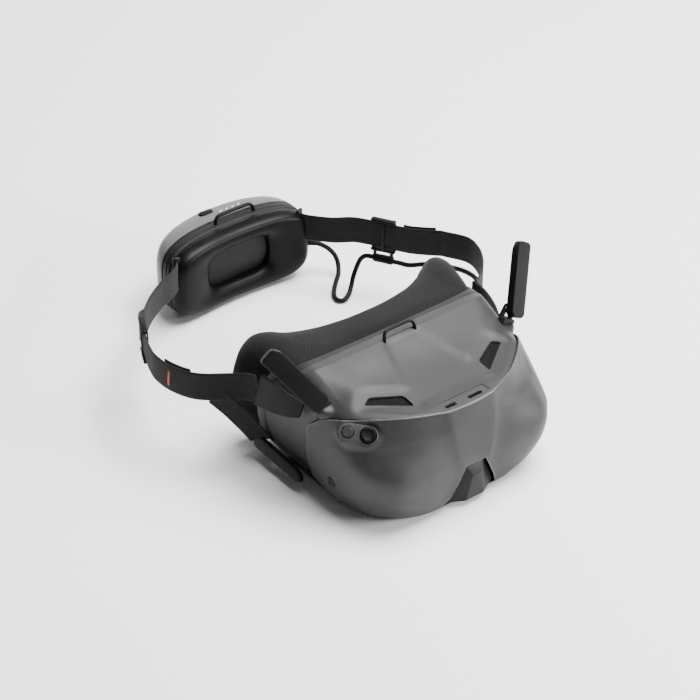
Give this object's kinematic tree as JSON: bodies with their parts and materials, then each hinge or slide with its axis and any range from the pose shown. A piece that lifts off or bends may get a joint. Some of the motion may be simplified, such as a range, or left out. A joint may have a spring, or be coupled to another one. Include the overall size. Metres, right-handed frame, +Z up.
{
  "type": "fpv goggles",
  "caption": "Head-worn video goggles: curved front shell, foam face seal, fold-up antennas and elastic headband carrying a cushioned battery pack wired by a cable.",
  "frame": {"origin": "on the flat underside of the goggles, in the middle of their width, below the visor's top rim", "axes": "+X towards the wearer's left, +Y from the visor back past the head to the battery pack, +Z up; the underside rests on z = 0"},
  "size_m": [0.2988, 0.381, 0.1432],
  "materials": {
    "visor_grey": "satin, fine speckle",
    "dark_shell": "satin",
    "black_plastic": "fine matt texture",
    "foam": "brushed knit over foam",
    "dark_metal": "black",
    "bare_metal": "satin",
    "lens_glass": "coated",
    "lens_glass_dark": "gloss",
    "circuit_board": "lacquer",
    "webbing": "woven elastic",
    "orange_thread": "woven",
    "pack_silver": "satin",
    "soft_rubber": "soft satin",
    "cell_wrap": "shrink film",
    "lamp_lens": "clear",
    "cable_rubber": "satin"
  },
  "bodies": {
    "goggles": {"front_visor": "visor_grey", "nose_insert": "dark_shell", "main_housing": "visor_grey", "bottom_shell": "dark_shell", "rear_frame": "dark_shell", "face_foam": "foam", "left_vent_mesh": "dark_metal", "right_vent_mesh": "dark_metal", "usb_port": "bare_metal", "card_slot": "dark_metal", "front_strap_loop": "black_plastic", "control_panel": "visor_grey", "left_antenna_bracket": "dark_shell", "right_antenna_bracket": "dark_shell", "left_antenna_pin": "bare_metal", "right_antenna_pin": "bare_metal", "left_upper_arm": "black_plastic", "right_upper_arm": "black_plastic", "left_lower_arm": "dark_shell", "right_lower_arm": "dark_shell", "lens_carriage": "black_plastic", "left_lens": "lens_glass", "right_lens": "lens_glass", "display_panel": "lens_glass_dark", "main_board": "circuit_board", "heat_sink": "bare_metal", "fan_housing": "black_plastic", "housing_screws": "bare_metal", "left_upper_strap": "webbing", "left_lower_strap": "webbing", "left_rear_strap": "webbing", "right_upper_strap": "webbing", "right_lower_strap": "webbing", "strap_tag": "orange_thread", "pack_rear_case": "pack_silver", "pack_frame": "dark_shell", "head_cushion": "soft_rubber", "pack_label_plate": "dark_shell", "battery_cells": "cell_wrap", "battery_board": "circuit_board", "charge_leds": "lamp_lens", "pack_strap_loop": "black_plastic", "pack_screws": "bare_metal", "power_cable": "cable_rubber", "cable_relief": "cable_rubber", "power_plug": "cable_rubber"},
    "left_antenna_body": {"left_antenna": "black_plastic"},
    "right_antenna_body": {"right_antenna": "black_plastic"},
    "back_button_body": {"back_button": "visor_grey"},
    "joystick_ring": {"joystick_gimbal": "black_plastic"},
    "joystick_stick": {"joystick_stem": "bare_metal"},
    "joystick_knob": {"joystick_cap": "black_plastic"},
    "link_button_body": {"link_button": "visor_grey"},
    "power_button_body": {"power_button": "black_plastic"},
    "left_slide_buckle": {"left_buckle": "black_plastic"},
    "right_slide_buckle": {"right_buckle": "black_plastic"},
    "fan_wheel": {"fan_rotor": "black_plastic"}
  },
  "joints": [
    {"name": "left_antenna_fold", "type": "hinge", "parent": "goggles", "child": "left_antenna_body", "pos_m": [0.095, 0.0632, 0.0974], "axis": [0.8316, 0.0261, -0.5548], "range_deg": [-63, 27]},
    {"name": "right_antenna_fold", "type": "hinge", "parent": "goggles", "child": "right_antenna_body", "pos_m": [-0.095, 0.0632, 0.0974], "axis": [0.8316, -0.0261, 0.5548], "range_deg": [-63, 27]},
    {"name": "back_button_press", "type": "slide", "parent": "goggles", "child": "back_button_body", "axis": [0.4429, 0.4279, -0.7879], "range_m": [0, 0.0008], "stiffness_N_per_m": 500},
    {"name": "joystick_sideways", "type": "hinge", "parent": "goggles", "child": "joystick_ring", "pos_m": [-0.075, 0.0239, 0.0773], "axis": [0.4849, 0.6209, 0.6159], "range_deg": [-6, 6], "stiffness_Nm_per_rad": 0.02},
    {"name": "joystick_lengthways", "type": "hinge", "parent": "joystick_ring", "child": "joystick_stick", "pos_m": [-0.075, 0.0239, 0.0773], "axis": [0.7878, -0.6159, 0], "range_deg": [-6, 6], "stiffness_Nm_per_rad": 0.02},
    {"name": "joystick_press", "type": "slide", "parent": "joystick_stick", "child": "joystick_knob", "axis": [0.379, 0.485, -0.7881], "range_m": [0, 0.0006], "stiffness_N_per_m": 500},
    {"name": "link_button_press", "type": "slide", "parent": "goggles", "child": "link_button_body", "axis": [0.9945, 0.1045, 0], "range_m": [0, 0.0008], "stiffness_N_per_m": 500},
    {"name": "power_button_press", "type": "slide", "parent": "goggles", "child": "power_button_body", "axis": [0, 0, -1], "range_m": [0, 0.0008], "stiffness_N_per_m": 500},
    {"name": "left_buckle_slide", "type": "slide", "parent": "goggles", "child": "left_slide_buckle", "axis": [0.521, -0.8536, 0], "range_m": [-0.006, 0.006]},
    {"name": "right_buckle_slide", "type": "slide", "parent": "goggles", "child": "right_slide_buckle", "axis": [0.4035, 0.915, 0], "range_m": [-0.006, 0.004]},
    {"name": "fan_spin", "type": "hinge", "parent": "goggles", "child": "fan_wheel", "pos_m": [-0.03, 0.0115, 0.044], "axis": [0, 1, 0], "continuous": true}
  ]
}
